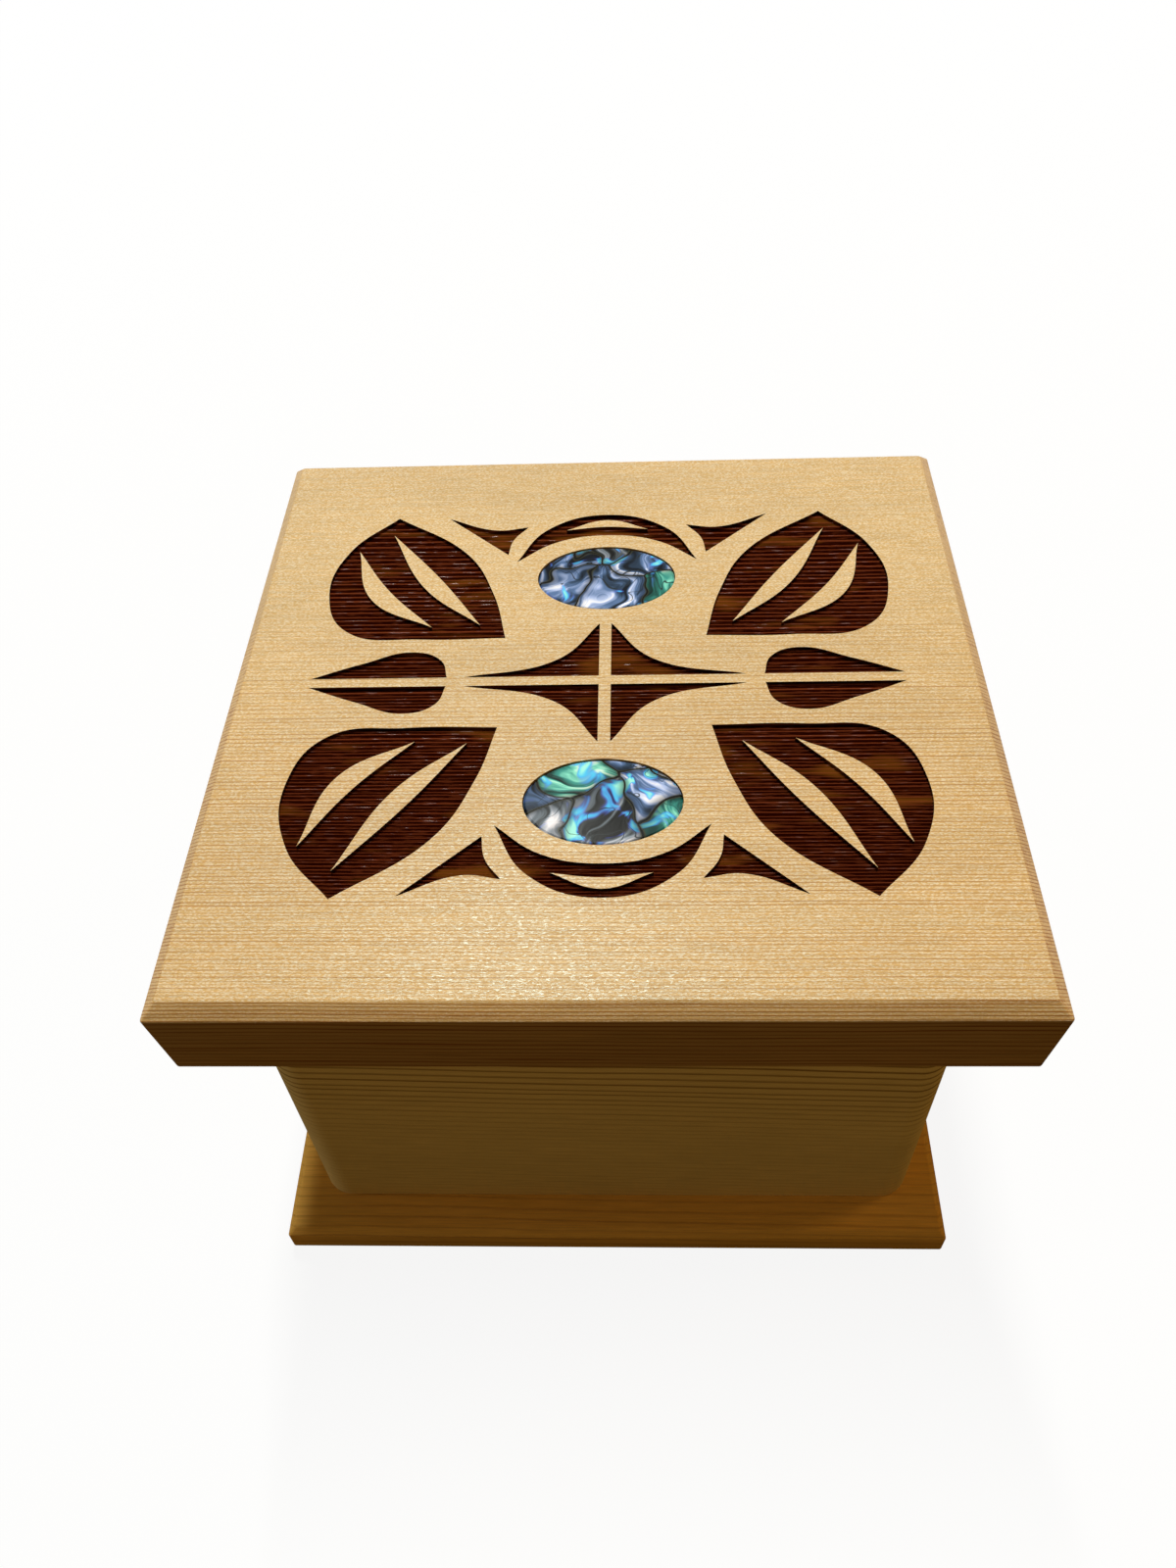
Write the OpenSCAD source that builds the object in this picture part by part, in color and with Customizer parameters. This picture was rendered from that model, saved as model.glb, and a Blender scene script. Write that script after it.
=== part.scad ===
// Kerf-bent cedar box with a lift-off lid.
// One plank is kerfed, steamed and bent round three corners, and its ends are lapped and pegged
// at the fourth. A rabbeted base board is pegged under it, and a thick lid board drops on top.
// Millimetres. The origin is the middle of the underside, +Z is up, and the front faces -Y.

/* [Bent sides] */
// Outside width and depth of the bent sides
box_w = 130; // [90:1:200]
// Height of the bent plank
box_h = 77; // [50:1:140]
// Thickness of the bent plank
wall = 9; // [7:0.5:12]
// Outside radius of a bent corner
bend_r = 6.5; // [5:0.5:10]
// Wood left outside each kerf, which is what bends
kerf_skin = 3; // [1.5:0.1:3.5]
// Radius of the hollow at the bottom of each kerf
kerf_hollow_r = 0.8; // [0.5:0.1:1.2]
// Width of a kerf once the corner is bent shut
kerf_gap = 0.4; // [0.2:0.1:0.8]

/* [Joined corner] */
// Thickness of the lip left by the rabbet on the plank's end
lip = 4; // [3:0.1:5]
// Width of the glue line between the plank's two ends
seam = 0.2; // [0.1:0.05:0.4]
// Radius that eases the outside edge of the joined corner
ease_r = 1.5; // [0.5:0.1:2.5]

/* [Base] */
// How far the base board stands out past the bent sides to the left and right
base_side_margin = 7; // [4:0.5:15]
// How far the base board stands out past the bent sides to the front and back
base_front_margin = 9; // [4:0.5:15]
// Thickness of the base board at its margin
base_t = 7.25; // [5:0.25:12]
// Bevel along the top edge of the base board
base_bevel = 1.5; // [0.5:0.1:3]
// Height of the raised panel that the rabbet leaves inside the sides
panel_h = 3; // [1.5:0.5:6]
// Gap between the raised panel and the sides
panel_gap = 0.3; // [0.1:0.1:1]

/* [Lid] */
// How far the lid board stands out past the bent sides
lid_overhang = 10; // [5:0.5:20]
// Thickness of the lid board
lid_t = 19.5; // [12:0.5:28]
// Bevel along the top edge of the lid board
lid_bevel = 2.5; // [0.5:0.1:5]
// How far the lid's sides lean in from the bevel down to the underside
lid_lean = 1; // [0:0.1:3]
// Thickness of the plug board under the lid
plug_t = 6; // [3:0.5:10]
// Bevel that leads the plug board into the box
plug_bevel = 1; // [0.2:0.1:2]
// Gap between the plug board and the sides
plug_gap = 0.5; // [0.2:0.1:1.5]

/* [Carving] */
// Plain border left round the carved ornament on the lid
carving_border = 16; // [10:0.5:30]
// Depth of the carved recesses
carving_depth = 1; // [0.5:0.1:2]

/* [Shell inlays] */
// Length of an oval inlay, across the lid
inlay_l = 29; // [16:0.5:40]
// Width of an oval inlay
inlay_w = 20; // [10:0.5:24]
// Thickness of an inlay
inlay_t = 2; // [1:0.1:4]
// Distance of each inlay's centre from the middle of the lid
inlay_offset = 31; // [14:0.5:36]
// Gap round an inlay in its pocket
inlay_gap = 0.15; // [0.1:0.05:0.4]

/* [Pegs] */
// Diameter of a peg
peg_d = 3.5; // [2.5:0.1:4.5]
// Gap round a peg in its hole
peg_gap = 0.05; // [0.02:0.01:0.15]
// Length of the tapered tip of a peg
peg_tip = 1.5; // [0.5:0.1:3]
// How far a peg narrows at its tip, each side
peg_taper = 0.5; // [0.1:0.1:1]
// Free space past the tip of a peg
peg_air = 0.5; // [0.2:0.1:1.5]
// Number of pegs up the joined corner
corner_pegs_n = 4; // [2:1:6]
// Depth that a corner peg reaches in from the outside face
corner_peg_depth = 20; // [12:1:30]
// Distance of the end corner pegs from the plank's edges
corner_peg_edge = 11; // [6:1:20]
// Number of pegs under each side
base_pegs_n = 2; // [1:1:4]
// Depth that a base peg reaches into the plank's lower edge
base_peg_depth = 14; // [8:1:24]

/* [Hidden] */
$fn = 96;

base_w = box_w + 2 * base_side_margin;
base_d = box_w + 2 * base_front_margin;
lid_w = box_w + 2 * lid_overhang;
inside_w = box_w - 2 * wall;
panel_w = inside_w - 2 * panel_gap;
plug_w = inside_w - 2 * plug_gap;
rim_z = base_t + box_h;
lid_top_z = rim_z + lid_t;
inlay_z = lid_top_z - inlay_t;
wall_mid = (box_w - wall) / 2;
hole_d = peg_d + 2 * peg_gap;
over = 1;

// Turns that bring a corner drawn at the back right to the three bends and to the joined corner
bend_turns = [0, -90, 180];
joint_turn = 90;

// One quarter of the carved ornament, as knots from the middle of a lid of drawn_lid_w.
// A third value of 0 is a sharp tip, and 1 is a round bend.
drawn_lid_w = 150;
drawn_border = 16;
curve_steps = 4;
leaf = [
    [20.5, 12.5, 0], [38, 12.4, 1], [53, 14.5, 1], [59, 26, 1],
    [56.5, 41, 1], [47, 52.5, 0], [30.5, 39.5, 1], [23.8, 26, 1]
];
inner_vein = [[26, 16.5, 0], [38.5, 28, 1], [47.5, 46.5, 0], [35.4, 31, 1]];
outer_vein = [[36, 16, 0], [49.5, 24.5, 1], [54.5, 41, 0], [46.2, 27.5, 1]];
star = [[1.2, 1.2, 0], [28, 1.2, 0], [9.5, 6, 1], [1.2, 16.5, 0]];
bud = [[31.5, 1.2, 0], [59, 1.2, 0], [49, 5.4, 1], [39, 8.6, 1], [33.2, 6.2, 1]];
spur = [[21.5, 39, 0], [35.5, 52, 0], [24.5, 47.6, 1], [17.5, 48.5, 0], [20.6, 44, 1]];
// The crescent crosses the middle line, so it is drawn whole
crescent = [
    [19.5, 36.5, 0], [13, 47.6, 1], [0, 52.5, 1], [-13, 47.6, 1],
    [-19.5, 36.5, 0], [-11, 43, 1], [0, 45.2, 1], [11, 43, 1]
];
crescent_vein = [[9, 47.2, 0], [0, 50.6, 1], [-9, 47.2, 0], [0, 48.2, 1]];

yellow_cedar = "#c9a45c";
red_cedar = "#c79a62";
peg_fir = "#a8743e";
shell = "#5f8fa6";

// Outline of a board of the given width, whose edge is [inset, height] points from the underside up
function board_outline(width, edge) = concat(
    [for (p = edge) [width / 2 - p.x, p.y]],
    [for (i = [len(edge) - 1 : -1 : 0]) [edge[i].x - width / 2, edge[i].y]]
);

// Ellipse of the given length and width
function oval(length, width, sides = 72) =
    [for (i = [0 : sides - 1]) [length / 2 * cos(360 * i / sides), width / 2 * sin(360 * i / sides)]];

function unit(v) = v / norm(v);
function knot(knots, i) = knots[(i + len(knots)) % len(knots)];
function spot(k) = [k.x, k.y];

// Handle of knot i towards its neighbour on one side: straight at a tip, smooth at a round bend
function handle(knots, i, side) =
    let (here = spot(knot(knots, i)), next = spot(knot(knots, i + side)), last = spot(knot(knots, i - side)))
    knot(knots, i).z == 0
        ? (next - here) / 3
        : unit(unit(next - here) - unit(last - here)) * norm(next - here) / 2.56;

// Closed cubic curve through knots, with single straight lines between neighbouring tips
function curve(knots) = [
    for (i = [0 : len(knots) - 1])
        let (
            a = spot(knots[i]), d = spot(knot(knots, i + 1)),
            b = a + handle(knots, i, 1), c = d + handle(knots, i + 1, -1),
            straight = knots[i].z + knot(knots, i + 1).z == 0,
            steps = straight ? 1 : curve_steps
        )
        for (k = [0 : steps - 1])
            let (t = k / steps, u = 1 - t)
            u * u * u * a + 3 * u * u * t * b + 3 * u * t * t * c + t * t * t * d
];

// A board that stands on z = 0, with the same edge on all four sides, mitred at its corners
module moulded_board(width, depth, edge) {
    reach = 2 * (width + depth);
    intersection() {
        rotate([90, 0, 0])
            linear_extrude(reach, center = true)
                polygon(board_outline(width, edge));
        rotate([90, 0, 90])
            linear_extrude(reach, center = true)
                polygon(board_outline(depth, edge));
    }
}

// Outline of the bent sides: three round bends and one joined corner with an eased edge
module bent_outline() {
    straight = box_w - 2 * bend_r;
    square([box_w, straight], center = true);
    square([straight, box_w], center = true);
    for (turn = bend_turns)
        rotate(turn)
            translate([straight / 2, straight / 2])
                circle(bend_r);
    rotate(joint_turn)
        translate([straight / 2, straight / 2]) {
            square([bend_r, bend_r - ease_r]);
            square([bend_r - ease_r, bend_r]);
            translate([bend_r - ease_r, bend_r - ease_r])
                circle(ease_r);
        }
}

// A shut kerf: a slit on the mitre line, from the inside corner out to a small hollow in the bend
module kerf() {
    bend_centre = box_w / 2 - bend_r;
    hollow_out = bend_r - kerf_skin - kerf_hollow_r;
    to_corner = (bend_centre - inside_w / 2) * sqrt(2);
    translate([bend_centre, bend_centre])
        rotate(45) {
            translate([hollow_out, 0])
                circle(kerf_hollow_r);
            translate([-to_corner - kerf_gap, -kerf_gap / 2])
                square([to_corner + kerf_gap + hollow_out, kerf_gap]);
        }
}

// Glue line of the rabbet: along the inside of the lip, then along the rabbet's shoulder
module glue_line() {
    inside = inside_w / 2;
    translate([inside - seam, box_w / 2 - lip - seam])
        square([wall + seam + over, seam]);
    translate([inside - seam, inside - over])
        square([seam, wall - lip + over]);
}

// Plan of the plank, kerfed and bent, with its two ends a glue line apart
module plank_plan() {
    difference() {
        bent_outline();
        square(inside_w, center = true);
        for (turn = bend_turns)
            rotate(turn)
                kerf();
        rotate(joint_turn)
            glue_line();
    }
}

// A tapered peg that stands on its head at the origin
module peg(length) {
    rotate_extrude()
        polygon([
            [0, 0], [peg_d / 2, 0], [peg_d / 2, length - peg_tip],
            [peg_d / 2 - peg_taper, length], [0, length]
        ]);
}

// Puts its children at each corner peg's head, pointing into the back wall's end
module at_corner_pegs() {
    spacing = (box_h - 2 * corner_peg_edge) / (corner_pegs_n - 1);
    for (i = [0 : corner_pegs_n - 1])
        translate([-box_w / 2, wall_mid, base_t + corner_peg_edge + i * spacing])
            rotate([0, 90, 0])
                children();
}

// Puts its children at each base peg's head, pointing up into the middle of a wall
module at_base_pegs() {
    spacing = inside_w / base_pegs_n;
    for (side = [0 : 3])
        rotate(90 * side)
            for (i = [0 : base_pegs_n - 1])
                translate([spacing * (i + 0.5) - inside_w / 2, -wall_mid, 0])
                    children();
}

module peg_hole(depth) {
    translate([0, 0, -over])
        cylinder(d = hole_d, h = depth + over + peg_air);
}

module side_plank() {
    color(yellow_cedar)
        difference() {
            translate([0, 0, base_t])
                linear_extrude(box_h)
                    plank_plan();
            at_corner_pegs()
                peg_hole(corner_peg_depth);
            at_base_pegs()
                peg_hole(base_t + base_peg_depth);
        }
}

module corner_pegs() {
    color(peg_fir)
        at_corner_pegs()
            peg(corner_peg_depth);
}

module base_board() {
    edge = [[0, 0], [0, base_t - base_bevel], [base_bevel, base_t]];
    panel_top = base_t + panel_h;
    color(red_cedar)
        difference() {
            union() {
                moulded_board(base_w, base_d, edge);
                translate([0, 0, panel_top / 2])
                    cube([panel_w, panel_w, panel_top], center = true);
            }
            at_base_pegs()
                peg_hole(base_t);
        }
}

module base_pegs() {
    color(peg_fir)
        at_base_pegs()
            peg(base_t + base_peg_depth);
}

// Places its children at one inlay's centre: side 1 is the back, side -1 the front
module at_inlay(side) {
    translate([0, side * inlay_offset, inlay_z])
        children();
}

// Plan of the carved ornament: one quarter mirrored to all four, and a crescent at the front and back
module ornament_plan() {
    for (x = [0, 1], y = [0, 1])
        mirror([x, 0])
            mirror([0, y]) {
                difference() {
                    polygon(curve(leaf));
                    polygon(curve(inner_vein));
                    polygon(curve(outer_vein));
                }
                polygon(curve(star));
                polygon(curve(bud));
                polygon(curve(spur));
            }
    for (y = [0, 1])
        mirror([0, y])
            difference() {
                polygon(curve(crescent));
                polygon(curve(crescent_vein));
            }
}

// Cutter for the carved recesses, set into the lid's top and scaled to leave the border
module carving() {
    size = (lid_w - 2 * carving_border) / (drawn_lid_w - 2 * drawn_border);
    translate([0, 0, lid_top_z - carving_depth])
        linear_extrude(carving_depth + over)
            scale(size)
                ornament_plan();
}

module lid_board() {
    edge = [[lid_lean, 0], [0, lid_t - lid_bevel], [lid_bevel, lid_t]];
    color(red_cedar)
        difference() {
            translate([0, 0, rim_z])
                moulded_board(lid_w, lid_w, edge);
            for (side = [-1, 1])
                at_inlay(side)
                    linear_extrude(inlay_t + over)
                        polygon(oval(inlay_l + 2 * inlay_gap, inlay_w + 2 * inlay_gap));
            carving();
        }
}

module lid_plug() {
    edge = [[plug_bevel, 0], [0, plug_bevel], [0, plug_t]];
    color(red_cedar)
        translate([0, 0, rim_z - plug_t])
            moulded_board(plug_w, plug_w, edge);
}

module abalone(side) {
    color(shell)
        at_inlay(side)
            linear_extrude(inlay_t)
                polygon(oval(inlay_l, inlay_w));
}

side_plank();
corner_pegs();
base_board();
base_pegs();
lid_board();
lid_plug();
abalone(1);  // abalone_back
abalone(-1);  // abalone_front
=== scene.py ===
"""Kerf-bent cedar box with a carved and shell-inlaid lid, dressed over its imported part.

Metres, in the part's own frame: +Z is up, the front faces -Y and the origin is under the middle of the base.
"""
import math
from typing import NamedTuple

import bmesh
import bpy
from bpy.props import FloatProperty, FloatVectorProperty, IntProperty, PointerProperty
from mathutils import Matrix, Vector


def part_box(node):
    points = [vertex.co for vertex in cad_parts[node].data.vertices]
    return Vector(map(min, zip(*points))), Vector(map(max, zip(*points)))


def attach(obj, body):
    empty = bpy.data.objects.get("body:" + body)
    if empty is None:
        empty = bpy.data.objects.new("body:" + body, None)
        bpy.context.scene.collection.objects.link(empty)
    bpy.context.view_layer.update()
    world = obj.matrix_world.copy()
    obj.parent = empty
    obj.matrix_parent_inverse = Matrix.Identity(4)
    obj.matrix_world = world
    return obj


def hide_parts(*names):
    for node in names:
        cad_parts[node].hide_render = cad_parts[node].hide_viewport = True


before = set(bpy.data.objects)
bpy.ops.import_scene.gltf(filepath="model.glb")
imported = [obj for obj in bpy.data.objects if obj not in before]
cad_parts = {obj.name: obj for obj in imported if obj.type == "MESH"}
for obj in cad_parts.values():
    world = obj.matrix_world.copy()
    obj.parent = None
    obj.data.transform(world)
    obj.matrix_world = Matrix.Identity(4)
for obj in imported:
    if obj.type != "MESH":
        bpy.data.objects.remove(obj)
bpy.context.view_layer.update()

bl_info = {
    "name": "Bentwood box",
    "version": (1, 0, 0),
    "blender": (4, 5, 0),
    "location": "3D View > Sidebar > Bentwood",
    "description": "Makes a kerf-bent cedar box: bent sides, pegs, base, carved lid and shell inlays",
    "category": "Object",
}

MM = 0.001

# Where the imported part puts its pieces
PLANK_LO, PLANK_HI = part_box("side_plank")
BASE_LO, BASE_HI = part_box("base_board")
LID_LO, LID_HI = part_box("lid_board")
PLUG_LO, PLUG_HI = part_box("lid_plug")
CORNER_PEG_LO, CORNER_PEG_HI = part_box("corner_pegs")
BASE_PEG_LO, BASE_PEG_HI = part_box("base_pegs")

# Half the width of the bent sides, the thickness of their plank and half the space between them
SIDE = PLANK_HI.x
WALL = 2 * SIDE - (CORNER_PEG_LO.y + CORNER_PEG_HI.y)
INSIDE = SIDE - WALL
PEG_RADIUS = (CORNER_PEG_HI.y - CORNER_PEG_LO.y) / 2
WALL_MIDDLE = SIDE - WALL / 2

# Length of a peg at the joined corner, and under the base
CORNER_PEG_REACH = CORNER_PEG_HI.x - CORNER_PEG_LO.x
BASE_PEG_REACH = BASE_PEG_HI.z - BASE_PEG_LO.z
SHELL_NODES = ("abalone_back", "abalone_front")

# How far a cutter reaches past what it cuts
OVER = 1 * MM
# Points closer than this are one point
WELD = 0.002 * MM
# Flats that make a quarter turn of a bend, and of a small rounded corner
BEND_STEPS = 14
EASE_STEPS = 4
# Flats that make the hollow of a kerf, a peg, its hole, an oval and the dome of an inlay
KERF_STEPS = 20
PEG_STEPS = 24
HOLE_STEPS = 32
OVAL_STEPS = 96
DOME_STEPS = 9
# How far a board's faces run on past an eased edge, counted in eases
EASE_RUN = 4
# Radius of the crisp corners inside the sides
INSIDE_RADIUS = 0.1 * MM
# Edges sharper than this stay crisp when light runs over them
CRISP_ANGLE = math.radians(32)


# Settings

def linear(code):
    """The linear colour, with alpha, of an sRGB hex value."""
    shares = [int(code[i:i + 2], 16) / 255 for i in (1, 3, 5)]
    return (*(s / 12.92 if s <= 0.04045 else ((s + 0.055) / 1.055) ** 2.4 for s in shares), 1.0)


def length(name, description, millimetres):
    """A size that a user can change."""
    return FloatProperty(
        name=name, description=description, default=millimetres * MM, min=0, unit="LENGTH", precision=5
    )


def colour(name, description, code):
    """A colour that a user can change."""
    return FloatVectorProperty(
        name=name, description=description, default=linear(code), size=4, min=0, max=1, subtype="COLOR"
    )


class BentwoodSizes(bpy.types.PropertyGroup):
    """Sizes of the box that its pieces' places don't give."""

    edge_ease: length("Edge ease", "How far a sharp edge is rounded over", 0.3)
    corner_ease: length("Corner ease", "Radius of a board's upright corners", 0.6)
    bend_radius: length("Bend radius", "Outside radius of a bent corner", 6.5)
    joint_ease: length("Joined corner ease", "Radius on the outside edge of the joined corner", 1.5)
    kerf_skin: length("Kerf skin", "Wood left outside each kerf, which is what bends", 3)
    kerf_hollow: length("Kerf hollow", "Radius of the hollow at the bottom of each kerf", 0.8)
    kerf_gap: length("Kerf gap", "Width of a kerf once the corner is bent shut", 0.4)
    lip: length("Lip", "Thickness of the lip left by the rabbet on the plank's end", 4)
    seam: length("Seam", "Width of the glue line between the plank's two ends", 0.2)
    base_bevel: length("Base bevel", "Bevel along the top edge of the base board", 1.5)
    panel_gap: length("Panel gap", "Gap between the base's raised panel and the sides", 0.3)
    lid_bevel: length("Lid bevel", "Bevel along the top edge of the lid", 2.5)
    lid_lean: length("Lid lean", "How far the lid's sides lean in towards the underside", 1)
    plug_bevel: length("Plug bevel", "Bevel that leads the plug into the box", 1)
    carving_depth: length("Carving depth", "Depth of the carved ground below the lid's top", 1.0)
    ridge_height: length("Ridge height", "How far the hard late wood stands up from the carved ground", 0.2)
    inlay_gap: length("Inlay gap", "Gap round a shell inlay in its pocket", 0.15)
    inlay_dome: length("Inlay dome", "How far a polished inlay falls from its middle to its rim", 0.12)
    peg_gap: length("Peg gap", "Gap round a peg in its hole", 0.05)
    peg_tip: length("Peg tip", "Length of the tapered tip of a peg", 1.5)
    peg_taper: length("Peg taper", "How far a peg narrows at its tip, each side", 0.5)
    peg_air: length("Peg air", "Free space past the tip of a peg", 0.5)
    corner_pegs: IntProperty(name="Corner pegs", description="Pegs up the joined corner", default=4, min=2)
    seed: IntProperty(name="Seed", description="Seed of the pegs' turns", default=4)


class BentwoodColours(bpy.types.PropertyGroup):
    """Colours of the woods, the stain and the floor."""

    lid_early: colour("Lid early wood", "Pale spring growth of the lid's red cedar", "#dbb170")
    lid_late: colour("Lid late wood", "Darker autumn growth of the lid's red cedar", "#ac7036")
    # The flecks' colour is partly silky ray flecks and partly painted glints
    flecks_and_glints: colour("Flecks", "Silky flecks where the lid is rubbed bright", "#f8eacb")
    plank_early: colour("Plank early wood", "Pale spring growth of the yellow cedar sides", "#dcc27e")
    plank_late: colour("Plank late wood", "Darker autumn growth of the yellow cedar sides", "#7c5818")
    base_early: colour("Base early wood", "Pale spring growth of the base's red cedar", "#e8b256")
    base_late: colour("Base late wood", "Darker autumn growth of the base's red cedar", "#a8733c")
    peg_early: colour("Peg early wood", "Pale spring growth of the fir pegs", "#a8743e")
    peg_late: colour("Peg late wood", "Darker autumn growth of the fir pegs", "#6e4420")
    stain_valley: colour("Stain valley", "Stain that settled between the ridges", "#1f0300")
    # The ridges' colour is partly stain on the ridge tops and partly a painted highlight
    stain_ridge_and_glint: colour("Stain ridge", "Stain on top of the ridges", "#7c3a20")
    stain_worn: colour("Stain worn", "Patches where the stain is thin", "#94561a")
    floor: colour("Floor", "The pale floor", "#faf9f7")
    table_bounce: colour("Table bounce", "Warm light that the surface under the box sends back", "#6e5430")


def chosen(context):
    """The sizes and the colours that are set in the scene."""
    return context.scene.bentwood_sizes, context.scene.bentwood_colours


# Nodes

# The kinds that are used most
MATH = "ShaderNodeMath"
VECTOR = "ShaderNodeVectorMath"
RANGE = "ShaderNodeMapRange"
NOISE = "ShaderNodeTexNoise"
MIX = "ShaderNodeMix"
# A range that eases in and out at its ends
SMOOTH = {"interpolation_type": "SMOOTHSTEP"}


def add(tree, kind, inputs=None, stops=(), **settings):
    """Adds a node, sets it up and fills its inputs, by name or place, with values, nodes or sockets."""
    node = tree.nodes.new(kind)
    for setting, value in settings.items():
        setattr(node, setting, value)
    for place, value in (inputs or {}).items():
        sockets = [s for s in node.inputs if s.enabled]
        socket = sockets[place] if isinstance(place, int) else next(s for s in sockets if s.name == place)
        for source in value if isinstance(value, list) else [value]:
            if isinstance(source, bpy.types.Node):
                source = next(s for s in source.outputs if s.enabled)
            if isinstance(source, bpy.types.NodeSocket):
                tree.links.new(source, socket)
            else:
                socket.default_value = source
    for count, (position, stop_colour) in enumerate(stops):
        elements = node.color_ramp.elements
        element = elements[count] if count < len(elements) else elements.new(position)
        element.position = position
        element.color = stop_colour
    return node


# Wood

class Timber(NamedTuple):
    """How a board grew and was sawn, and how strongly each of its marks shows."""

    # Millimetres from line to line, and how fast the lines crowd together with depth
    spacing: float
    crowding: float
    # Radians that the rings lean, and how steeply the lines climb along the board
    tilt: float
    slope: float
    # Share of a year's growth that is dark, and millimetres that the lines wander
    line: float
    sway: float
    # Millimetres of depth at which the lines are half faded, or 0 where they don't fade
    fade: float
    # Strength of the lines and of the long streaks, and roughness of the lacquer
    contrast: float
    streak: float
    roughness: float
    # Where rubbed bright: strength of silky flecks, partly painted glints, gloss, and how far flecks tilt the
    # lacquer
    fleck_and_glint: float = 0.0
    gloss: float = 0.0
    sparkle: float = 0.0


# Rings that lean back, so that lines run along the top, the front and the bevel and slant across the ends.
# They lie 2 mm apart and faint at the back of the top and crowd to 0.7 mm at its front
LID_TIMBER = Timber(
    spacing=0.649, crowding=-0.0046, tilt=math.radians(28), slope=0.004, line=0.42, sway=0.9, fade=55,
    contrast=1.1, streak=0.45, roughness=0.32, fleck_and_glint=0.6, gloss=0.42, sparkle=1.0,
)
# The carved ground is the same wood, with its ridges as high at the back as at the front
GROUND_TIMBER = LID_TIMBER._replace(fade=0, line=0.38)
# Rings that slant through the plank, 3.4 mm apart at the rim, and crowd and grow faint towards the foot
PLANK_TIMBER = Timber(
    spacing=2.42, crowding=0.0039, tilt=math.radians(45), slope=0.031, line=0.42, sway=1.5, fade=31,
    contrast=1.0, streak=0.03, roughness=0.5,
)
BASE_TIMBER = Timber(
    spacing=1.9, crowding=0, tilt=math.radians(35), slope=0.006, line=0.32, sway=2.5, fade=0,
    contrast=0.38, streak=0.05, roughness=0.45,
)
PEG_TIMBER = Timber(
    spacing=0.7, crowding=0, tilt=math.radians(20), slope=0, line=0.5, sway=0.4, fade=0,
    contrast=0.8, streak=0.2, roughness=0.6,
)

# Reach in millimetres of a slow bend in the lines, along and across the grain
SWAY_ALONG = 70
SWAY_ACROSS = 30
# Years that a spell of fast or slow growth lasts, and how many lines it moves
SPELL_YEARS = 4
SPELL_SHIFT = 1.2
# Share of a line that is fully dark, where in its year it stops, how faint it can be and what fading leaves
LINE_CORE = 0.45
YEAR_END = 0.93
FAINT_YEAR = 0.6
FADED_LINE = 0.12


def growth_rings(tree, place, timber):
    """How deep each place lies across the rings, how far through its year's growth, and which year that is.

    Places are in millimetres along, across and up the board.
    """
    stretch = (1 / SWAY_ALONG, 1 / SWAY_ACROSS, 1 / SWAY_ACROSS)
    slow = add(tree, VECTOR, {0: place, 1: stretch}, operation="MULTIPLY")
    sway = add(tree, NOISE, {"Vector": slow, "Scale": 1.0, "Detail": 2.0})
    outward = (timber.slope, math.cos(timber.tilt), math.sin(timber.tilt))
    level = add(tree, VECTOR, {0: place, 1: outward}, operation="DOT_PRODUCT")
    depth = add(tree, MATH, {0: sway, 1: timber.sway, 2: level}, operation="MULTIPLY_ADD")
    rate = add(tree, MATH, {0: depth, 1: timber.crowding, 2: 1 / timber.spacing}, operation="MULTIPLY_ADD")
    even = add(tree, MATH, {0: depth, 1: rate}, operation="MULTIPLY")
    spell = add(tree, NOISE, {"W": even, "Scale": 1 / SPELL_YEARS, "Detail": 2.0}, noise_dimensions="1D")
    count = add(tree, MATH, {0: spell, 1: SPELL_SHIFT, 2: even}, operation="MULTIPLY_ADD")
    phase = add(tree, MATH, {0: count}, operation="FRACT")
    year = add(tree, MATH, {0: count}, operation="FLOOR")
    return depth, phase, year


def late_wood(tree, place, timber):
    """How dark and hard the wood is: it builds up through a year's growth and then stops short."""
    depth, phase, year = growth_rings(tree, place, timber)
    line, stop = (
        add(tree, RANGE, {"Value": phase, "From Min": start, "From Max": end}, **SMOOTH)
        for start, end in ((1 - timber.line, 1 - LINE_CORE * timber.line), (1.0, YEAR_END))
    )
    chance = add(tree, "ShaderNodeTexWhiteNoise", {"W": year}, noise_dimensions="1D")
    shares = [stop, add(tree, RANGE, {"Value": chance, "To Min": FAINT_YEAR})]
    if timber.fade:
        start, end = timber.fade / 2, 1.5 * timber.fade
        shares.append(add(
            tree, RANGE,
            {"Value": depth, "From Min": start, "From Max": end, "To Min": 1.0, "To Max": FADED_LINE},
            **SMOOTH,
        ))
    for share in shares:
        line = add(tree, MATH, {0: line, 1: share}, operation="MULTIPLY")
    return line


# Marks in the wood: size along and across the grain in millimetres, and where their noise starts and ends
FLECKS_AND_GLINTS = (0.5, 0.17, 0.46, 0.6)
GLINTS = (1.0, 0.2, 0.5, 0.6)
FIBRES = (9.0, 0.28, 0.3, 0.7)
STREAKS = (48.0, 0.9, 0.5, 0.7)
CLOUDS = (60.0, 25.0, 0.3, 0.7)
STAIN_FLECKS = (3.0, 0.3, 0.5, 0.75)
STAIN_WEAR = (20.0, 5.0, 0.55, 0.75)


def marks(tree, place, size):
    """Noise drawn out along the grain, from 0 to 1."""
    along, across, low, high = size
    stretch = (1 / along, 1 / across, 1 / across)
    drawn = add(tree, VECTOR, {0: place, 1: stretch}, operation="MULTIPLY")
    spots = add(tree, NOISE, {"Vector": drawn, "Scale": 1.0, "Detail": 2.0})
    return add(tree, RANGE, {"Value": spots, "From Min": low, "From Max": high}, **SMOOTH)


# Finishes

# Strength that growth lines keep on the rubbed top and on the sides with painted shade
WORN_LINES = 0.72
# Share of a glint that late wood takes away, and the shares of the gloss on dull wood and on a glint
LATE_DULLS = 0.6
DULL_SHEEN = 0.3
GLINT_SHEEN = 1.7
# Cool tint of the lacquer's shine
LACQUER_TINT = (0.6, 0.95, 1.0, 1.0)
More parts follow.
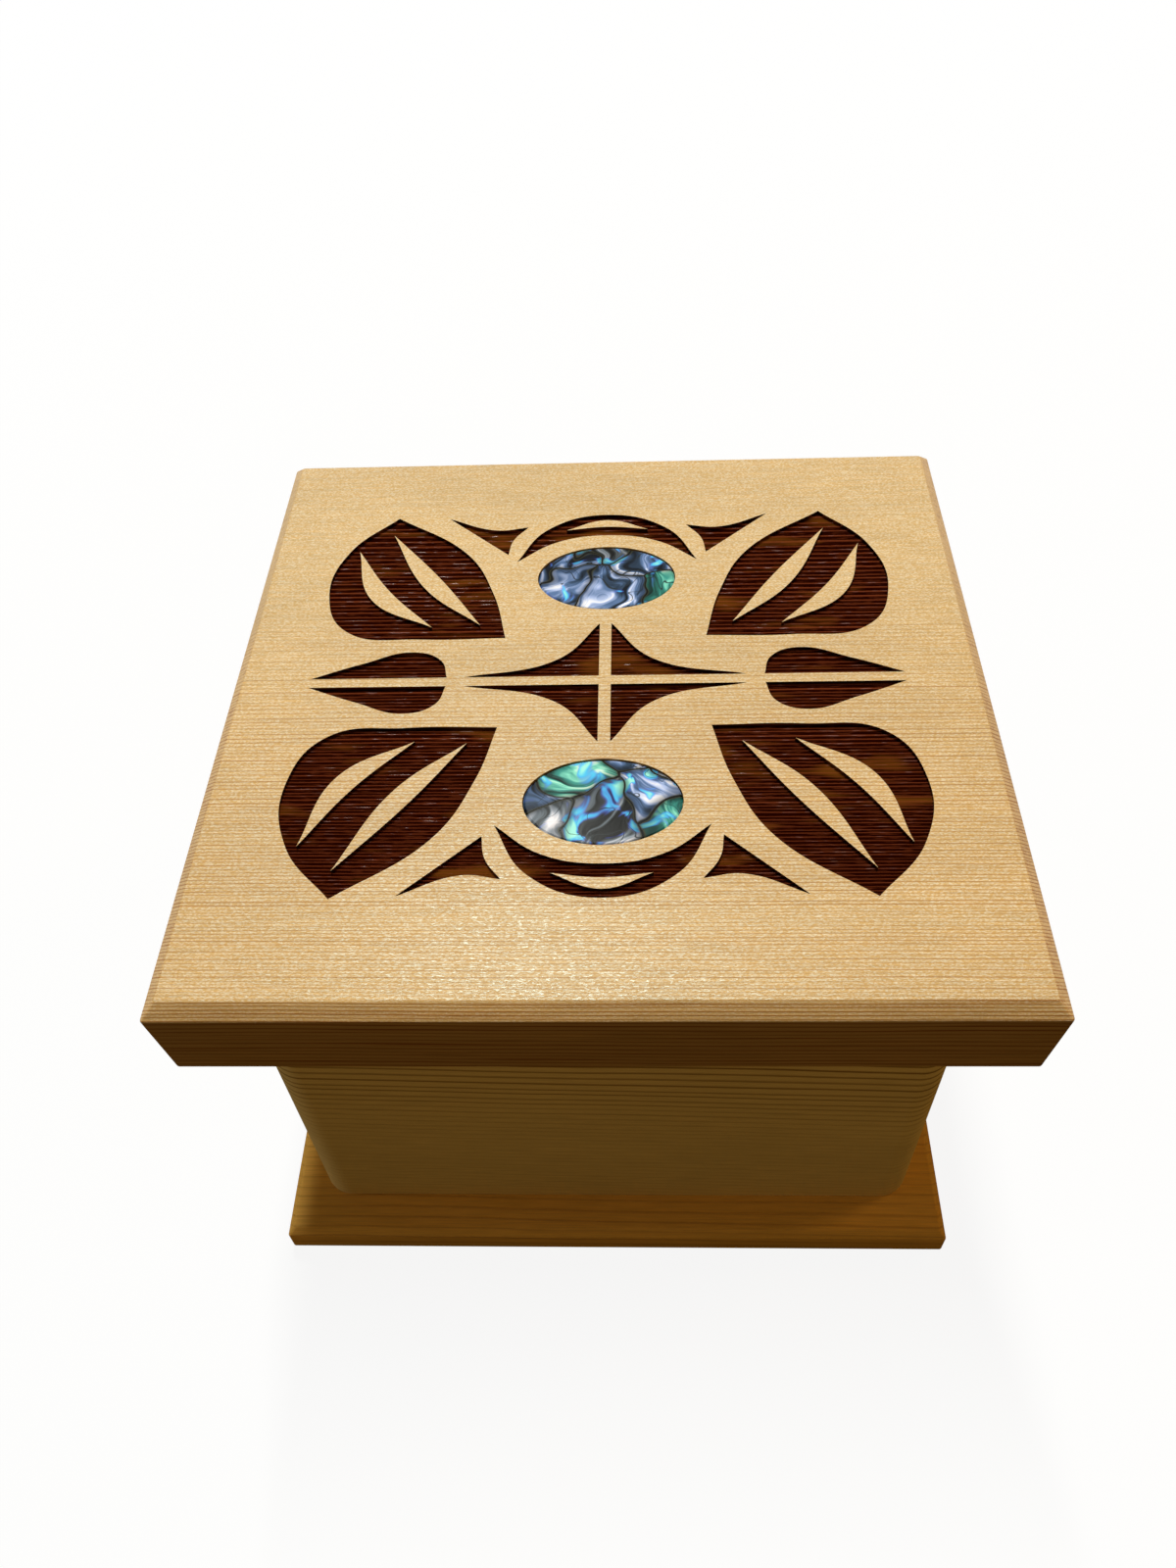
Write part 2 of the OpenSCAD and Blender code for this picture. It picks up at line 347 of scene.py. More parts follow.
# Height of the late wood on a planed face, of flecks in the stain and of the shell's silk
PLANED_RELIEF = 0.03 * MM
STAINED_RELIEF = 0.04 * MM
SHELL_RELIEF = 0.2 * MM
# How far a fleck takes the ridges' colour, which holds a painted highlight, and how much stain a worn patch
# misses
DRY_FLECK = 0.35
THIN_PATCH = 0.4


def finish(name, make, *details):
    """The named finish, made the first time that a piece asks for it; make returns the surface's node."""
    material = bpy.data.materials.get(name)
    if not material:
        material = bpy.data.materials.new(name)
        material.use_nodes = True
        tree = material.node_tree
        tree.nodes.clear()
        add(tree, "ShaderNodeOutputMaterial", {"Surface": make(tree, *details)})
    return material


def in_millimetres(tree, place):
    """A place in metres as one in millimetres."""
    return add(tree, VECTOR, {0: place, "Scale": 1 / MM}, operation="SCALE")


def lacquered_wood(tree, early, late, pale, timber):
    """Planed, lacquered softwood: fine growth lines, short silky flecks with painted glints, a soft sheen
    along the grain.
    """
    grain = add(tree, "ShaderNodeAttribute", attribute_name="grain").outputs["Vector"]
    ends = add(tree, "ShaderNodeAttribute", attribute_name="end_grain").outputs["Fac"]
    wear = add(tree, "ShaderNodeAttribute", attribute_name="wear").outputs["Fac"]
    place = in_millimetres(tree, grain)
    dark = late_wood(tree, place, timber)
    # How far each face is cut across the grain, rubbed bright, given painted shade, free of streaks and silky
    cut_ends, rubbed, painted_side_shade, planed, silky = (
        add(tree, RANGE, {"Value": source, "From Min": start, "From Max": end})
        for source, start, end in (
            (ends, 0.75, 1.0), (wear, 0.0, 1.0), (wear, 0.0, -1.0), (wear, 0.3, 0.8), (wear, 0.0, 0.5),
        )
    )

    # Growth lines are fainter on the top and on the sides with painted shade; streaks show on the sides and
    # the bevel
    amount = add(tree, MATH, {0: wear}, operation="ABSOLUTE")
    worn = add(tree, RANGE, {"Value": amount, "From Min": 0.5})
    smooth = add(tree, MATH, {0: worn, 1: cut_ends}, operation="SUBTRACT", use_clamp=True)
    shown = add(
        tree, RANGE,
        {"Value": smooth, "To Min": timber.contrast, "To Max": WORN_LINES * timber.contrast},
    )
    lines = add(tree, MATH, {0: dark, 1: shown}, operation="MULTIPLY")
    calm = add(tree, MATH, {0: planed, 1: cut_ends}, operation="MAXIMUM")
    streaks = add(tree, MATH, {0: marks(tree, place, STREAKS), 1: calm}, operation="SUBTRACT", use_clamp=True)
    share = add(
        tree, MATH, {0: streaks, 1: timber.streak, 2: lines},
        operation="MULTIPLY_ADD", use_clamp=True,
    )
    growth = add(tree, MIX, {"Factor": share, "A": early, "B": late}, data_type="RGBA")
    # Pale flecks between the lines: partly silky ray flecks, partly painted glints of the lacquer
    between_lines = add(tree, MATH, {0: silky, 1: dark}, operation="SUBTRACT", use_clamp=True)
    flecks_and_glints = marks(tree, place, FLECKS_AND_GLINTS)
    silk = add(tree, MATH, {0: flecks_and_glints, 1: between_lines}, operation="MULTIPLY")
    share = add(tree, MATH, {0: silk, 1: timber.fleck_and_glint}, operation="MULTIPLY")
    with_flecks_and_glints = add(tree, MIX, {"Factor": share, "A": growth, "B": pale}, data_type="RGBA")

    # Each mark darkens or lightens the wood a little, cut ends are darker, and painted shade darkens the
    # sides
    tone = 1.0
    for source, without, full in (
        (marks(tree, place, FIBRES), 0.9, 1.06),
        (marks(tree, place, CLOUDS), 0.95, 1.04),
        (cut_ends, 1.0, 0.84),
        (painted_side_shade, 1.0, 0.57),
    ):
        step = add(tree, RANGE, {"Value": source, "To Min": without, "To Max": full})
        tone = add(tree, MATH, {0: step, 1: tone}, operation="MULTIPLY")
    shade = add(tree, "ShaderNodeHueSaturation", {"Color": with_flecks_and_glints, "Value": tone})

    # Late wood stands a little proud and stays dull, and flecks of fibre tilt the lacquer and glint
    glints = marks(tree, place, GLINTS)
    tilt = add(tree, MATH, {0: glints, 1: between_lines}, operation="MULTIPLY")
    relief = add(tree, MATH, {0: tilt, 1: timber.sparkle, 2: dark}, operation="MULTIPLY_ADD")
    bump = add(tree, "ShaderNodeBump", {"Height": relief, "Strength": 1.0, "Distance": PLANED_RELIEF})
    bright = add(tree, MATH, {0: dark, 1: -LATE_DULLS, 2: glints}, operation="MULTIPLY_ADD")
    sheen = add(
        tree, RANGE,
        {"Value": bright, "To Min": DULL_SHEEN * timber.gloss, "To Max": GLINT_SHEEN * timber.gloss},
    )
    gloss = add(tree, MATH, {0: rubbed, 1: sheen}, operation="MULTIPLY")
    return add(
        tree, "ShaderNodeBsdfPrincipled",
        {
            "Base Color": shade, "Roughness": timber.roughness, "IOR": 1.5, "Specular IOR Level": gloss,
            "Specular Tint": LACQUER_TINT, "Normal": bump,
        },
    )


def stained_cedar(tree, colours):
    """Carved cedar under dark red-brown stain: ridges glint and carry a painted highlight; stain pools
    between them.
    """
    grain = add(tree, "ShaderNodeAttribute", attribute_name="grain").outputs["Vector"]
    place = in_millimetres(tree, grain)
    ridge = late_wood(tree, place, GROUND_TIMBER)
    flecks_and_glints = marks(tree, place, STAIN_FLECKS)
    worn = marks(tree, place, STAIN_WEAR)
    faint = add(tree, MATH, {0: flecks_and_glints, 1: DRY_FLECK}, operation="MULTIPLY")
    # Ridges and flecks take the ridges' lighter colour, which is partly a painted highlight
    dry_and_glint = add(tree, MATH, {0: ridge, 1: faint}, operation="MAXIMUM")
    thin = add(tree, MATH, {0: worn, 1: THIN_PATCH}, operation="MULTIPLY")
    stain = colours.stain_valley
    for share, tone in ((dry_and_glint, colours.stain_ridge_and_glint), (thin, colours.stain_worn)):
        stain = add(tree, MIX, {"Factor": share, "A": stain, "B": tone}, data_type="RGBA")
    bump = add(tree, "ShaderNodeBump", {"Height": flecks_and_glints, "Strength": 0.7, "Distance": STAINED_RELIEF})
    crest = add(tree, MATH, {0: ridge, 1: flecks_and_glints}, operation="MULTIPLY")
    glint = add(tree, RANGE, {"Value": crest, "From Min": 0.2, "To Max": 0.9})
    return add(
        tree, "ShaderNodeBsdfPrincipled",
        {"Base Color": stain, "Roughness": 0.3, "IOR": 1.5, "Specular IOR Level": glint, "Normal": bump},
    )


# Sizes in millimetres of the shell's swirls and how far they bend its sheets, of a sheet, of its silky
# streaks along and across, of a patch of vivid colour and of a growth layer, and the lines in a layer
SHELL_SWIRL = 9.0909
SHELL_BEND = (14.0, 12.0, 0.0)
SHELL_SHEET = 13.3333
SHELL_SILK = (12.5, 3.3333)
SHELL_PRISM = 5.0
SHELL_LAYER = 8.3333
SHELL_LINES = 3.0
# Colours from shade to light of a blue, a green and a grey sheet, and where their light rises
SHEET_TONES = (
    ("#0e151f", "#33465f", "#5c77a4", "#adbfea", "#f4f5ff"),
    ("#0a1613", "#235a52", "#3f968c", "#8ae0c8", "#eafff0"),
    ("#121311", "#3a3e40", "#66707a", "#a6aebc", "#f4f0f6"),
)
SHEET_STEPS = (0.36, 0.44, 0.52, 0.59, 0.66)
# Share of the sheets that are blue, and that are blue or green
BLUE_SHEETS = 0.5
COLOURED_SHEETS = 0.78
# Violet, blue and two aquas that the layers part the light into
PRISM_TONES = ((0.53, "#7a6cd0"), (0.57, "#5a78f0"), (0.62, "#4cc4f8"), (0.7, "#a6fbe8"))


def polished_abalone(tree):
    """Polished abalone: sheets of blue, grey and sea-green nacre, vivid streaks and dark curved seams."""
    place = in_millimetres(tree, add(tree, "ShaderNodeTexCoord").outputs["Object"])
    # A few sheets of growth to each inlay, with bent borders
    swirl = add(tree, NOISE, {"Vector": place, "Scale": 1 / SHELL_SWIRL, "Detail": 1.0})
    bent = add(tree, VECTOR, {0: swirl.outputs["Color"], 1: SHELL_BEND, 2: place}, operation="MULTIPLY_ADD")
    sheets, borders = (
        add(
            tree, "ShaderNodeTexVoronoi", {"Vector": bent, "Scale": 1 / SHELL_SHEET},
            voronoi_dimensions="2D", feature=feature,
        )
        for feature in ("F1", "DISTANCE_TO_EDGE")
    )
    sheet = add(tree, "ShaderNodeSeparateColor", {"Color": sheets.outputs["Color"]})
    border = borders.outputs["Distance"]

    # Light runs over each sheet in streaks of its own direction and colours
    angle = add(tree, MATH, {0: sheet.outputs["Red"], 1: math.pi}, operation="MULTIPLY")
    swung = add(tree, "ShaderNodeVectorRotate", {"Vector": bent, "Angle": angle}, rotation_type="Z_AXIS")
    stretch = (1 / SHELL_SILK[0], 1 / SHELL_SILK[1], 0.0)
    drawn = add(tree, VECTOR, {0: swung, 1: stretch}, operation="MULTIPLY")
    silk = add(tree, NOISE, {"Vector": drawn, "Scale": 1.0, "Detail": 3.0, "Distortion": 0.7})
    blue, green, grey = (
        add(
            tree, "ShaderNodeValToRGB", {"Fac": silk},
            stops=[(at, linear(tone)) for at, tone in zip(SHEET_STEPS, tones)],
        )
        for tones in SHEET_TONES
    )
    nacre = blue
    for start, other in ((BLUE_SHEETS, green), (COLOURED_SHEETS, grey)):
        share = add(
            tree, RANGE,
            {"Value": sheet.outputs["Green"], "From Min": start, "From Max": start + 0.02},
        )
        nacre = add(tree, MIX, {"Factor": share, "A": nacre, "B": other}, data_type="RGBA")

    # Here and there the layers part the light into violet, blue and aqua
    prism_noise = add(
        tree, NOISE,
        {"Vector": bent, "Scale": 1 / SHELL_PRISM, "Detail": 2.5, "Distortion": 0.5},
    )
    hues = add(
        tree, "ShaderNodeValToRGB", {"Fac": prism_noise},
        stops=[(at, linear(tone)) for at, tone in PRISM_TONES],
    )
    vivid = add(
        tree, RANGE, {"Value": prism_noise, "From Min": 0.54, "From Max": 0.62, "To Max": 0.9},
        **SMOOTH,
    )
    veined = add(tree, MIX, {"Factor": vivid, "A": nacre, "B": hues}, data_type="RGBA")

    # Fine growth lines, and dark horn with an olive edge where one sheet ends and the next begins
    layers = add(tree, NOISE, {"Vector": bent, "Scale": 1 / SHELL_LAYER, "Detail": 2.0, "Distortion": 0.4})
    year = add(tree, MATH, {0: layers, 1: SHELL_LINES, 2: sheet}, operation="MULTIPLY_ADD")
    away = add(tree, MATH, {0: year, 1: 0.5}, operation="PINGPONG")
    for distance, near, far, tone in (
        (away, 0.0, 0.03, "#262c2e"), (border, 0.008, 0.04, "#6c6a3c"), (border, 0.006, 0.024, "#08090a"),
    ):
        clear = add(tree, RANGE, {"Value": distance, "From Min": near, "From Max": far}, **SMOOTH)
        veined = add(tree, MIX, {"Factor": clear, "A": linear(tone), "B": veined}, data_type="RGBA")
    # Each sheet dips into shade along its seams
    dip = add(tree, RANGE, {"Value": border, "From Max": 0.2, "To Min": 0.35, "To Max": 1.15}, **SMOOTH)
    shade = add(tree, "ShaderNodeHueSaturation", {"Color": veined, "Value": dip})
    bump = add(tree, "ShaderNodeBump", {"Height": silk, "Strength": 0.4, "Distance": SHELL_RELIEF})
    return add(
        tree, "ShaderNodeBsdfPrincipled",
        {"Base Color": shade, "Roughness": 0.25, "IOR": 1.55, "Specular IOR Level": 0.06, "Normal": bump},
    )


# The finish of each wooden piece and the timber that it is sawn from
WOODS = {
    "lid": ("red_cedar_lid", LID_TIMBER),
    "plank": ("yellow_cedar_sides", PLANK_TIMBER),
    "base": ("red_cedar_base", BASE_TIMBER),
    "peg": ("fir_pegs", PEG_TIMBER),
}


def wood_finish(piece, colours):
    """The finish of a wooden piece, in the colours of its early wood, its late wood and the flecks."""
    name, timber = WOODS[piece]
    early, late = getattr(colours, piece + "_early"), getattr(colours, piece + "_late")
    return finish(name, lacquered_wood, early, late, colours.flecks_and_glints, timber)


# Shapes

def to_piece(name, shape, *materials):
    """Turns mesh code's result into a linked object."""
    mesh = bpy.data.meshes.new(name)
    shape.to_mesh(mesh)
    shape.free()
    for material in materials:
        mesh.materials.append(material)
    piece = bpy.data.objects.new(name, mesh)
    bpy.context.scene.collection.objects.link(piece)
    return piece


def stack(name, layers, *materials):
    """A closed solid through outlines of like points; each layer is its (x, y) points and its height."""
    shape = bmesh.new()
    rings = [[shape.verts.new((x, y, height)) for x, y in outline] for outline, height in layers]
    for lower, upper in zip(rings, rings[1:]):
        for i in range(len(lower)):
            j = (i + 1) % len(lower)
            shape.faces.new((lower[i], lower[j], upper[j], upper[i]))
    shape.faces.new(rings[0][::-1])
    shape.faces.new(rings[-1])
    return to_piece(name, shape, *materials)


def bake(piece):
    """Keeps what a piece's modifiers make as its plain mesh."""
    evaluated = piece.evaluated_get(bpy.context.evaluated_depsgraph_get())
    piece.data = bpy.data.meshes.new_from_object(evaluated)
    piece.modifiers.clear()


def cut(piece, tool, operation="DIFFERENCE"):
    """Cuts a piece with a tool, or joins or crosses the two, and puts the tool away."""
    modifier = piece.modifiers.new(operation, "BOOLEAN")
    modifier.operation = operation
    modifier.solver = "MANIFOLD"
    modifier.material_mode = "TRANSFER"
    modifier.object = tool
    bake(piece)
    bpy.data.objects.remove(tool)
    if not piece.data.polygons:
        raise RuntimeError(f"{piece.name} has nothing left after {operation}")


def grow(name, tree, points, inputs):
    """Runs a node tree on some points and keeps what it makes as a plain mesh."""
    mesh = bpy.data.meshes.new(name)
    mesh.from_pydata(points, [], [])
    piece = bpy.data.objects.new(name, mesh)
    modifier = piece.modifiers.new(tree.name, "NODES")
    modifier.node_group = tree
    for socket in tree.interface.items_tree:
        if socket.in_out == "INPUT" and socket.name in inputs:
            modifier[socket.identifier] = inputs[socket.name]
    bpy.context.scene.collection.objects.link(piece)
    bake(piece)
    return piece


def new_tree(name, **sockets):
    """A geometry node tree with these named inputs, and its input node."""
    tree = bpy.data.node_groups.new(name, "GeometryNodeTree")
    for socket, kind in sockets.items():
        tree.interface.new_socket(socket.replace("_", " "), in_out="INPUT", socket_type=kind)
    tree.interface.new_socket("Geometry", in_out="OUTPUT", socket_type="NodeSocketGeometry")
    return tree, add(tree, "NodeGroupInput").outputs


def corner_arc(centre_x, centre_y, radius, quarter, steps):
    """Points of a quarter round; quarter 0 turns from +X to +Y."""
    turns = [math.pi / 2 * (quarter + i / steps) for i in range(steps + 1)]
    return [(centre_x + radius * math.cos(t), centre_y + radius * math.sin(t)) for t in turns]


CORNER_SIGNS = ((1, 1), (-1, 1), (-1, -1), (1, -1))


def rectangle(half_x, half_y, radius):
    """Outline of a board seen from above, with rounded corners."""
    points = []
    for quarter, (sx, sy) in enumerate(CORNER_SIGNS):
        points += corner_arc(sx * (half_x - radius), sy * (half_y - radius), radius, quarter, EASE_STEPS)
    return points


def oval(half_x, half_y):
    """Outline of an ellipse."""
    turns = [2 * math.pi * i / OVAL_STEPS for i in range(OVAL_STEPS)]
    return [(half_x * math.cos(t), half_y * math.sin(t)) for t in turns]


def moved(outline, x, y):
    """An outline shifted along X and Y."""
    return [(px + x, py + y) for px, py in outline]


def turned(outline, angle):
    """An outline turned about the origin."""
    c, s = math.cos(angle), math.sin(angle)
    return [(c * x - s * y, s * x + c * y) for x, y in outline]


def prism(name, outline, bottom, top, *materials):
    """An upright solid with one outline."""
    return stack(name, [(outline, bottom), (outline, top)], *materials)


def eased(edge, ease):
    """Rounds over the inner corners of an edge drawn as (inset, height) points."""
    points = []
    corners = [Vector(p) for p in edge]
    for before, corner, after in zip(corners, corners[1:], corners[2:]):
        start = corner + (before - corner).normalized() * ease
        end = corner + (after - corner).normalized() * ease
        for i in range(EASE_STEPS + 1):
            t = i / EASE_STEPS
            points.append(start * (1 - t) ** 2 + corner * 2 * t * (1 - t) + end * t * t)
    return points


def board(name, half_x, half_y, edge, sizes, *materials):
    """A board whose edge is (inset, height) corners from the underside up, with every edge eased."""
    inward = EASE_RUN * sizes.edge_ease
    (foot_inset, foot), (rim_inset, rim) = edge[0], edge[-1]
    path = [(foot_inset + inward, foot), *edge, (rim_inset + inward, rim)]
    layers = [
        (rectangle(half_x - inset, half_y - inset, sizes.corner_ease), height)
        for inset, height in eased(path, sizes.edge_ease)
    ]
    return stack(name, layers, *materials)


def score(piece, places):
    """Splits a piece's faces along upright planes across X and across Y at these places."""
    shape = bmesh.new()
    shape.from_mesh(piece.data)
    for axis in (Vector((1, 0, 0)), Vector((0, 1, 0))):
        for place in places:
            bmesh.ops.bisect_plane(
                shape, geom=[*shape.verts, *shape.edges, *shape.faces], plane_co=axis * place, plane_no=axis
            )
    shape.to_mesh(piece.data)
    shape.free()


def along_x(point, centre, normal):
    """Place and end grain in a board whose grain runs left to right."""
    return point, abs(normal.x)


def lay_grain(piece, follow, wear=lambda centre, normal: 0):
    """Writes where each face corner lies in its board, along, across and up, and which faces are end grain.

    The wear and shade value is 1 on faces rubbed bright with painted glints, -1 on faces given painted shade,
    and 0 or in between on the rest.
    """
    mesh = piece.data
    grain = mesh.attributes.new("grain", "FLOAT_VECTOR", "CORNER")
    ends = mesh.attributes.new("end_grain", "FLOAT", "FACE")
    worn = mesh.attributes.new("wear", "FLOAT", "FACE")
    for face in mesh.polygons:
        for corner in face.loop_indices:
            point = mesh.vertices[mesh.loops[corner].vertex_index].co
            grain.data[corner].vector, ends.data[face.index].value = follow(point, face.center, face.normal)
        worn.data[face.index].value = wear(face.center, face.normal)


def seat(piece, body, node):
    """Hands a finished piece over: it moves with its body and stands for its node."""
    piece.data.shade_smooth()
    piece.data.set_sharp_from_angle(angle=CRISP_ANGLE)
    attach(piece, body)
    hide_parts(node)


# Bent sides

def bent_plan(sizes, inset):
    """Outline of the sides seen from above, drawn in by inset: three bends and the joined corner."""
    points = []
    for quarter, (sx, sy) in enumerate(CORNER_SIGNS):
        joined = quarter == 1
        radius = sizes.joint_ease if joined else sizes.bend_radius
        steps = EASE_STEPS if joined else BEND_STEPS
        points += corner_arc(sx * (SIDE - radius), sy * (SIDE - radius), radius - inset, quarter, steps)
    return points


def kerf_outline(sizes):
    """A shut kerf at the back right: a slit on the mitre line that ends in a small hollow."""
    half_gap = sizes.kerf_gap / 2
    bend_centre = SIDE - sizes.bend_radius
    hollow_out = sizes.bend_radius - sizes.kerf_skin - sizes.kerf_hollow
    start = (INSIDE - bend_centre) * math.sqrt(2) - sizes.kerf_gap
    mouth = math.asin(half_gap / sizes.kerf_hollow)
    sweep = 2 * math.pi - 2 * mouth
    turns = [mouth - math.pi + sweep * i / KERF_STEPS for i in range(KERF_STEPS + 1)]
    hollow = [(hollow_out + sizes.kerf_hollow * math.cos(t), sizes.kerf_hollow * math.sin(t)) for t in turns]
    slit = [(start, half_gap), (start, -half_gap)]
    return moved(turned([*slit, *hollow], math.pi / 4), bend_centre, bend_centre)


def seam_outline(sizes):
    """The glue line at the back left: behind the lip, then along the rabbet's shoulder."""
    inside, lip_line = INSIDE, SIDE - sizes.lip
    corner = [
        (inside - sizes.seam, inside - OVER), (inside, inside - OVER), (inside, lip_line - sizes.seam),
        (SIDE + OVER, lip_line - sizes.seam), (SIDE + OVER, lip_line), (inside - sizes.seam, lip_line),
    ]
    return turned(corner, math.pi / 2)


def corner_peg_places(sizes):
    """Heads of the pegs up the joined corner."""
    low, high = CORNER_PEG_LO.z + PEG_RADIUS, CORNER_PEG_HI.z - PEG_RADIUS
    gaps = sizes.corner_pegs - 1
    return [(-SIDE, WALL_MIDDLE, low + (high - low) * i / gaps) for i in range(sizes.corner_pegs)]


def base_peg_places():
    """Heads of the pegs under the base, two to a side."""
    side = [(share * INSIDE / 2, -WALL_MIDDLE) for share in (-1, 1)]
    return [(x, y, BASE_LO.z) for k in range(4) for x, y in turned(side, k * math.pi / 2)]


PEG_UP = Matrix.Identity(4)
PEG_RIGHT = Matrix.Rotation(math.pi / 2, 4, "Y")


def peg_holes(name, places, turn, depth, sizes):
    """One tool with a round hole for each peg."""
    tool = bmesh.new()
    reach = depth + sizes.peg_air + OVER
    for place in places:
        middle = Matrix.Translation(Vector(place)) @ turn @ Matrix.Translation((0, 0, reach / 2 - OVER))
        radius = PEG_RADIUS + sizes.peg_gap
        bmesh.ops.create_cone(
            tool, cap_ends=True, segments=HOLE_STEPS, radius1=radius, radius2=radius, depth=reach,
            matrix=middle,
        )
    return to_piece(name, tool)


class BENTWOOD_OT_side_plank(bpy.types.Operator):
    """Bends the kerfed plank round three corners and laps its ends at the fourth"""

    bl_idname = "bentwood.side_plank"
    bl_label = "Side plank"

    def execute(self, context):
        sizes, colours = chosen(context)
        bottom, top, ease = PLANK_LO.z, PLANK_HI.z, sizes.edge_ease
        inward = EASE_RUN * ease
        upright = eased([(inward, bottom), (0, bottom), (0, top), (inward, top)], ease)
        outside = [(bent_plan(sizes, inset), height) for inset, height in upright]
        plank = stack("bent_side_plank", outside, wood_finish("plank", colours))
        hollow = [(ease, bottom - OVER), *upright, (ease, top + OVER)]
        halves = [(INSIDE + min(inset, ease), height) for inset, height in hollow]
        inside = [(rectangle(half, half, INSIDE_RADIUS), height) for half, height in halves]
        cut(plank, stack("hollow", inside))
        for turn in (0, -math.pi / 2, math.pi):
            cut(plank, prism("kerf", turned(kerf_outline(sizes), turn), bottom - OVER, top + OVER))
        cut(plank, prism("seam", seam_outline(sizes), bottom - OVER, top + OVER))
        cut(plank, peg_holes("corner_holes", corner_peg_places(sizes), PEG_RIGHT, CORNER_PEG_REACH, sizes))
        cut(plank, peg_holes("base_holes", base_peg_places(), PEG_UP, BASE_PEG_REACH, sizes))
        bend = SIDE - sizes.bend_radius
        score(plank, (-bend, bend))
        lay_grain(plank, lambda point, centre, normal: self.follow_bends(point, centre, normal, sizes))
        seat(plank, "box", "side_plank")
        return {"FINISHED"}

    def follow_bends(self, point, centre, normal, sizes):
        """Place along the plank, into it and down from its rim, as if flat, and whether its end shows."""
        bend = SIDE - sizes.bend_radius
        quarter_length = 2 * bend + sizes.bend_radius * math.pi / 2
        walls = [Matrix.Rotation(k * math.pi / 2, 3, "Z") for k in range(4)]
        wall = max(range(4), key=lambda k: (walls[k] @ centre).y)
        if centre.y > bend and centre.x < -bend:
            wall = 3 if centre.x < -SIDE + sizes.lip + sizes.seam / 2 else 0
        spot, middle = walls[wall] @ point, walls[wall] @ centre
        drop = PLANK_HI.z - spot.z
        if abs(middle.x) > bend and middle.y > bend and not (centre.x < -bend and centre.y > bend):
            start = wall * quarter_length + math.copysign(bend, middle.x)
            out = Vector((spot.x - math.copysign(bend, middle.x), spot.y - bend))
            turn = math.atan2(out.x, out.y)
            return Vector((start + sizes.bend_radius * turn, out.length - sizes.bend_radius, drop)), 0
        place = Vector((wall * quarter_length + spot.x, spot.y - SIDE, drop))
        return place, abs((walls[wall] @ normal).x)


# Pegs

def peg_row():
    """A node tree that stands a peg at each point, each turned by chance about its own length."""
    tree, inputs = new_tree(
        "peg_row", Points="NodeSocketGeometry", Peg="NodeSocketObject", Turn="NodeSocketVector",
        Seed="NodeSocketInt", Wood="NodeSocketMaterial",
    )
    template = add(tree, "GeometryNodeObjectInfo", {"Object": inputs["Peg"]})
    pegs = add(
        tree, "GeometryNodeInstanceOnPoints",
        {"Points": inputs["Points"], "Instance": template.outputs["Geometry"], "Rotation": inputs["Turn"]},
    )
    chance = add(tree, "FunctionNodeRandomValue", {"Min": 0.0, "Max": 2 * math.pi, "Seed": inputs["Seed"]})
    spin = add(tree, "ShaderNodeCombineXYZ", {"Z": chance})
    spun = add(tree, "GeometryNodeRotateInstances", {"Instances": pegs, "Rotation": spin})
    real = add(tree, "GeometryNodeRealizeInstances", {"Geometry": spun})
    dressed = add(tree, "GeometryNodeSetMaterial", {"Geometry": real, "Material": inputs["Wood"]})
    add(tree, "NodeGroupOutput", {"Geometry": dressed})
    return tree


def whittled(radius, flats=7, shaved=0.03):
    """Outline of a peg rounded with a knife, which leaves faint flats."""
    points = []
    for i in range(PEG_STEPS):
        turn = 2 * math.pi * i / PEG_STEPS
        r = radius * (1 - shaved * (0.5 + 0.5 * math.cos(flats * turn)))
        points.append((r * math.cos(turn), r * math.sin(turn)))
    return points


def make_pegs(name, places, turn, reach, sizes, colours):
    """Whittles one peg and stands it at every place."""
    ease, inward = sizes.edge_ease, EASE_RUN * sizes.edge_ease
    edge = [(inward, 0), (0, 0), (0, reach - sizes.peg_tip), (sizes.peg_taper, reach), (inward, reach)]
    template = stack("peg", [(whittled(PEG_RADIUS - inset), height) for inset, height in eased(edge, ease)])
    pegs = grow(
        name, peg_row(), places,
        {"Peg": template, "Turn": turn.to_euler(), "Seed": sizes.seed, "Wood": wood_finish("peg", colours)},
    )
    bpy.data.objects.remove(template)
    return pegs


class BENTWOOD_OT_corner_pegs(bpy.types.Operator):
    """Drives the pegs through the lapped corner"""

    bl_idname = "bentwood.corner_pegs"
    bl_label = "Corner pegs"

    def execute(self, context):
        sizes, colours = chosen(context)
        pegs = make_pegs("lap_pegs", corner_peg_places(sizes), PEG_RIGHT, CORNER_PEG_REACH, sizes, colours)
        lay_grain(pegs, along_x)
        seat(pegs, "box", "corner_pegs")
        return {"FINISHED"}


class BENTWOOD_OT_base_pegs(bpy.types.Operator):
    """Drives the pegs up through the base into the sides"""

    bl_idname = "bentwood.base_pegs"
    bl_label = "Base pegs"

    def execute(self, context):
        sizes, colours = chosen(context)
        pegs = make_pegs("foot_pegs", base_peg_places(), PEG_UP, BASE_PEG_REACH, sizes, colours)
        lay_grain(pegs, lambda point, centre, normal: (point.zxy, abs(normal.z)))
        seat(pegs, "box", "base_pegs")
        return {"FINISHED"}


# Base

